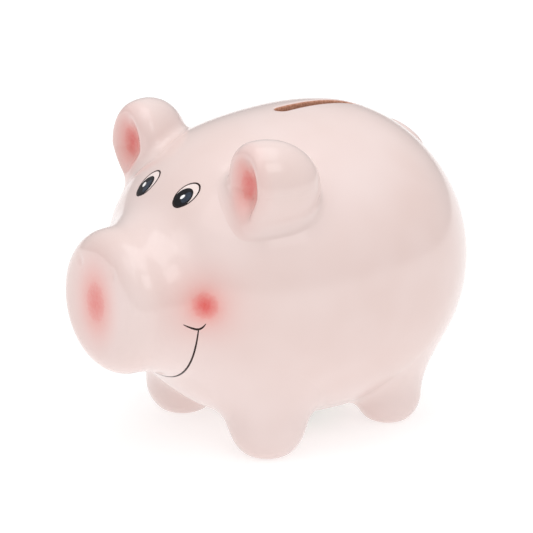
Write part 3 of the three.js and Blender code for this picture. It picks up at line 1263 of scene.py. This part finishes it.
@dataclass
class FacePaint:
    """Eyes and smile, brushed in ceramic enamel, each a thin closed film on the skin."""

    form: ShellForm
    film: float = 0.05
    edge_sinks: float = 0.01
    buried: float = 0.3
    smile_half_width: float = 26.9
    smile_drop: float = 28.0
    smile_level: float = 52.9
    smile_from: float = -11.0
    tick_across: float = 26.25
    tick_half_width: float = 1.7
    tick_level: float = 47.5
    tick_drop: float = 1.85
    line: float = 0.74
    outline: float = 0.3
    outline_swell: float = 0.3
    outline_swells_at: float = 0.35
    outline_spread: float = 0.9
    shade_across: float = 1.15
    shade_up: float = 0.35
    shade_share: float = 0.5
    shade_tilt: float = 25.0
    outlines: tuple[Oval, Oval] = (Oval(10.4, 84.0, 3.9, 3.1, 35), Oval(-8.85, 83.4, 4.8, 2.9, 43))
    pupils: tuple[Oval, Oval] = (Oval(9.9, 83.1, 3.15, 2.6, 30), Oval(-9.5, 82.4, 3.95, 2.35, 41))
    glints: tuple[Oval, Oval] = (Oval(9.8, 83.4, 0.75, 0.5, 40), Oval(-10.2, 82.7, 0.8, 0.6, 40))

    def spot(self, name: str, oval: Oval, coat: Coat, paint: bpy.types.Material) -> None:
        """A filled oval of paint: a thin lens whose top falls as the sixth power of the way from its middle.

        Args:
            name: the piece's name.
            oval: its outline.
            coat: the coat it belongs to.
            paint: the finish.
        """
        turn = circle(72)[None]
        share = np.linspace(0.08, 1, 12)[:, None]
        lift = coat.value + self.film * (1 - share**6) - self.edge_sinks
        top = self.form.face(*oval.edge(share, turn), lift)
        under = self.form.face(*oval.edge(share[::-1], turn), -self.buried)
        adopt(Sheet(np.concatenate([top, under]), True).build(name, [paint], 60.0), Body.BANK, None)

    def stroke(
        self,
        name: str,
        drawn: tuple[Array, Array],
        width: Array,
        closed: bool,
        coat: Coat,
        paint: bpy.types.Material,
    ) -> None:
        """A brush stroke: a flat-bottomed bead carried along a line on the skin.

        Args:
            name: the piece's name.
            drawn: the line in the front view, sideways and upwards.
            width: the stroke's width along the line.
            closed: whether the line closes on itself.
            coat: the coat it belongs to.
            paint: the finish.
        """
        line = self.form.face(*drawn)
        normal = gradient(self.form.field, line)
        ends = [line[-1:], line, line[:1]] if closed else [line]
        along = unit(np.gradient(np.concatenate(ends), axis=0))
        along = along[1:-1] if closed else along
        beside = unit(np.cross(normal, along))
        turn = circle(12)
        lift = np.where(np.sin(turn) > 0, coat.value + self.film * np.sin(turn), self.buried * np.sin(turn))
        offset = beside[:, None] * (np.cos(turn)[None, :] * width[:, None] / 2)[..., None]
        points = line[:, None] + offset + normal[:, None] * lift[None, :, None]
        adopt(Sheet(points, not closed).build(name, [paint], 70.0), Body.BANK, None)

    def build(self) -> None:
        """Paints both eyes, the smile and its two ticks."""
        brown = Enamel("brown_enamel_brushed", "#3A2522", "#24130F").material()
        black = Enamel("black_enamel_brushed", "#1C1A20", "#0C090B").material()
        navy = Enamel("navy_enamel_dabbed", "#39424F", "#262D3A").material()
        white = Enamel("white_enamel_dabbed", "#FFFFFF", "#F6F3F2").material()
        cream = Enamel("cream_enamel_brushed", "#F8EAE6", "#F2DFDA").material()
        turn = circle(120)
        # both outlines swell at the upper end on the pig's left, by a bell curve of the angle
        off = np.angle(np.exp(1j * (turn - self.outline_swells_at))) / self.outline_spread
        thick = self.outline + self.outline_swell * np.exp(-(off**2))
        for name, outline, pupil, glint in zip(("left", "right"), self.outlines, self.pupils, self.glints):
            self.spot(f"{name}_eye_white", outline, Coat.GROUND, cream)
            edge = outline.edge(np.array(0.97), turn)
            self.stroke(f"{name}_eye_outline", edge, thick, True, Coat.FIGURE, brown)
            self.spot(f"{name}_pupil", pupil, Coat.FIGURE, black)
            shade = Oval(
                pupil.across + self.shade_across,
                pupil.height + self.shade_up,
                pupil.long * self.shade_share,
                pupil.short * self.shade_share,
                pupil.tilt + self.shade_tilt,
            )
            self.spot(f"{name}_iris_shade", shade, Coat.SHADE, navy)
            self.spot(f"{name}_glint", glint, Coat.GLINT, white)
        self.smile(brown)

    def smile(self, paint: bpy.types.Material) -> None:
        """The smile is the lower half of an oval in the front view, less its two ends, which thin out.

        Args:
            paint: the finish.
        """
        angle = np.radians(np.linspace(self.smile_from, -180 - self.smile_from, 240))
        across = self.smile_half_width * np.cos(angle)
        height = self.smile_level + self.smile_drop * np.sin(angle)
        ease = np.clip(1 - np.linspace(-1, 1, 240) ** 2, 0, 1) ** 0.25
        width = self.line * (0.25 + 0.75 * ease)
        self.stroke("smile_line", (across, height), width, False, Coat.GROUND, paint)
        share = np.linspace(-1, 1, 60)
        height = self.tick_level + self.tick_drop * np.abs(share) ** 1.8
        width = self.line * (0.3 + 0.7 * (1 - share**2))
        for side, name in ((1, "left"), (-1, "right")):
            across = side * (self.tick_across + self.tick_half_width * share)
            self.stroke(f"{name}_smile_tick", (across, height), width, False, Coat.TICK, paint)


# ---- The plug ------------------------------------------------------------------------------------


@dataclass
class BellyPlug:
    """A soft moulded cup that opens downwards, with a flange, ridges that grip, and a bar to pull it by."""

    clearance: float = 0.35
    hole_radius: float = 15.0
    flange_margin: float = 2.2
    flange: float = 1.8
    height: float = 13.0
    ridge: float = 1.0
    ridges: int = 3
    wall: float = 2.0
    grip: float = 4.0
    grip_recess: float = 0.8
    columns: int = 96

    def __post_init__(self) -> None:
        """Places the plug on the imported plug's axis, with its flange at that one's foot."""
        self.middle = (PLUG_LOW + PLUG_HIGH) / 2
        self.low = float(PLUG_LOW[2])

    def cup(self, material: bpy.types.Material) -> bpy.types.Object:
        """Turns a profile round the axis: from the roof inside, down, out under the flange, and up and over.

        The ridges are a squared sine to the power 0.8, and each edge is eased by a few tenths of a millimetre.

        Args:
            material: the soft plastic.

        Returns:
            The cup.
        """
        body = self.hole_radius - self.clearance
        groove = body - self.ridge
        inner = groove - self.wall
        rim = self.hole_radius + self.flange_margin
        top = self.low + self.flange
        crown = top + self.height
        roof = crown - self.wall
        climb = np.linspace(0, 1, 90)
        wave = np.clip(np.sin(np.pi * climb * self.ridges) ** 2, 0, 1) ** 0.8
        profile = [(inner * s, roof) for s in np.linspace(0.06, 0.94, 8)]
        profile += [(inner - 0.15, roof - 0.05), (inner, roof - 0.4), (inner, self.low + 0.4)]
        profile += [(inner + 0.15, self.low)]
        profile += [(inner + 0.5, self.low), (rim - 0.7, self.low), (rim - 0.25, self.low + 0.12)]
        profile += [(rim, self.low + 0.55), (rim, top - 0.35), (rim - 0.3, top), (groove + 0.3, top)]
        ridges = np.stack([groove + self.ridge * wave, top + 0.5 + climb * (self.height - 1.5)], -1)
        profile += [tuple(point) for point in ridges.tolist()]
        profile += [(groove - 0.1, crown - 0.45), (groove - 0.5, crown)]
        profile += [(groove * s, crown) for s in np.linspace(0.9, 0.06, 8)]
        points = turned(profile, self.middle[:2], self.columns)
        made = Sheet(points, True).build("plug_cup", [material], 50.0)
        return adopt(made, Body.PLUG, Slot.PLUG, "belly_plug")

    def bar(self, material: bpy.types.Material) -> bpy.types.Object:
        """A rounded bar across the cup: a ball whose coordinates are each drawn out towards a box's.

        Args:
            material: the soft plastic.

        Returns:
            The bar.
        """
        inner = self.hole_radius - self.clearance - self.ridge - self.wall
        foot = self.low + self.grip_recess
        top = self.low + self.flange + self.height - self.wall / 2
        half = np.array([self.grip / 2, inner + self.wall / 2, (top - foot) / 2])
        lean = np.linspace(0.05, np.pi - 0.05, 30)[:, None]
        turn = circle(72)[None]

        def squared(value: Array) -> Array:
            """Draws a circle's coordinate out towards a square's."""
            return np.sign(value) * np.abs(value) ** 0.3

        shape = [squared(np.sin(lean)) * squared(np.cos(turn)), squared(np.sin(lean)) * squared(np.sin(turn))]
        shape.append(np.broadcast_to(squared(np.cos(lean)), shape[0].shape))
        centre = np.array([self.middle[0], self.middle[1], (top + foot) / 2])
        points = centre + np.stack(shape, -1) * half
        return adopt(Sheet(points, True).build("plug_grip_bar", [material], 50.0), Body.PLUG, Slot.PLUG)

    def build(self) -> None:
        """Builds the cup and its bar in one soft plastic."""
        material = SoftPlastic().material()
        self.cup(material)
        self.bar(material)


# ---- Studio --------------------------------------------------------------------------------------


@dataclass(frozen=True)
class Softbox:
    """A soft light: its azimuth and elevation in degrees, its distance and size in metres, and its watts."""

    name: str
    azimuth: float
    elevation: float
    distance: float
    size: tuple[float, float]
    power: float


@dataclass
class Studio:
    """A pale floor, soft lights and the camera."""

    azimuth: float = 53.5
    elevation: float = 18.3
    distance: float = 0.68
    aim_mm: tuple[float, float, float] = (-7.93, 4.5, 48.1)
    sensor: float = 36.0
    view_width_mm: float = 171.935
    nearest: float = 0.01
    floor_radius: float = 5.0
    floor_sides: int = 64
    floor_pale: str = "#CCCCCC"
    floor_grey: str = "#C6C6C6"
    floor_grain_mm: float = 60.0
    floor_glow: float = 0.55
    tent_foot: float = 0.34
    tent_crown: float = 1.05
    boxes: tuple[Softbox, ...] = (
        Softbox("window", 78.0, 44.0, 0.95, (0.5, 0.34), 0.7),
        Softbox("key", 8.0, 50.0, 1.1, (0.6, 0.5), 0.6),
        Softbox("top", 60.0, 84.0, 1.1, (0.9, 0.9), 2.6),
    )

    def aim(self, thing: bpy.types.Object, azimuth: float, elevation: float, distance: float) -> None:
        """Puts a camera or light at an angle and distance from the bank's middle, looking at it.

        Args:
            thing: the camera or light.
            azimuth: degrees from dead ahead of the pig towards its left.
            elevation: degrees above level.
            distance: how far off, in metres.
        """
        back = Vector(toward(azimuth, elevation))
        thing.location = Vector(self.aim_mm) * MM + back * distance
        thing.rotation_euler = back.to_track_quat("Z", "Y").to_euler()

    def floor(self) -> None:
        """A light table: a wide round sheet of opal acrylic that glows a little."""
        turn = circle(self.floor_sides)
        rim = np.stack([np.cos(turn), np.sin(turn), 0 * turn], -1) * self.floor_radius
        mesh = bpy.data.meshes.new("floor")
        mesh.from_pydata(rim.tolist(), [], [list(range(self.floor_sides))])
        made, tree, place = open_material("opal_acrylic_light_table_cast")
        pattern = {"Scale": per_metre(self.floor_grain_mm), "Detail": 2}
        cloud = add_node(tree, "ShaderNodeTexNoise", pattern, {"Vector": place})
        stops = [(0.3, self.floor_grey), (0.7, self.floor_pale)]
        tone = add_node(tree, "ShaderNodeValToRGB", {"stops": stops}, {0: cloud})
        constants = {"Roughness": 0.9, "Specular IOR Level": 0.1, "Emission Strength": self.floor_glow}
        close_material(tree, constants, {"Base Color": tone})
        mesh.materials.append(made)
        table = bpy.data.objects.new("floor", mesh)
        bpy.context.scene.collection.objects.link(table)

    def lamps(self) -> None:
        """The soft lights."""
        for box in self.boxes:
            light = bpy.data.lights.new(box.name, "AREA")
            light.shape = "RECTANGLE"
            light.size, light.size_y = box.size
            light.energy = box.power
            lamp = bpy.data.objects.new(box.name, light)
            bpy.context.scene.collection.objects.link(lamp)
            self.aim(lamp, box.azimuth, box.elevation, box.distance)

    def tent(self) -> None:
        """A white tent all round, brighter overhead than at its foot."""
        world = bpy.data.worlds.new("white_tent")
        world.use_nodes = True
        tree = world.node_tree
        cloth = tree.nodes["Background"]
        cloth.inputs["Color"].default_value = linear("#FFFFFF")
        way = add_node(tree, "ShaderNodeTexCoord", {}, {})
        parts = add_node(tree, "ShaderNodeSeparateXYZ", {}, {0: way.outputs["Generated"]})
        bright = {3: self.tent_foot, 4: self.tent_crown}
        rise = add_node(tree, "ShaderNodeMapRange", bright, {0: parts.outputs["Z"]})
        tree.links.new(rise.outputs[0], cloth.inputs["Strength"])
        bpy.context.scene.world = world

    def viewer(self) -> None:
        """The camera, whose view is so wide at the bank's middle."""
        camera = bpy.data.cameras.new("camera")
        camera.sensor_width = self.sensor
        camera.lens = self.sensor * self.distance / (self.view_width_mm * MM)
        camera.clip_start = self.nearest
        eye = bpy.data.objects.new("camera", camera)
        bpy.context.scene.collection.objects.link(eye)
        self.aim(eye, self.azimuth, self.elevation, self.distance)
        bpy.context.scene.camera = eye

    def build(self) -> None:
        """Sets up the floor, the lights, the tent and the camera."""
        self.floor()
        self.lamps()
        self.tent()
        self.viewer()
        bpy.context.scene.view_settings.view_transform = "Standard"


def main() -> None:
    """Builds the bank's pieces in order, then the studio."""
    logging.basicConfig(level=logging.INFO, format="%(message)s")
    form = ShellForm()
    glaze = GlossGlaze().material()
    clay = BareClay().material()
    CastShell(form).build(glaze, clay)
    leg_radii = {"front": 12.0, "rear": 10.8}
    for end, radius in leg_radii.items():
        for side in ("left", "right"):
            Leg(form, f"{end}_{side}_leg", radius).build(glaze, clay)
    for side in (1, -1):
        Ear(form, side).build(glaze)
    Tail(form).build(glaze)
    FacePaint(form).build()
    BellyPlug().build()
    Studio().build()


if __name__ == "__main__":
    main()
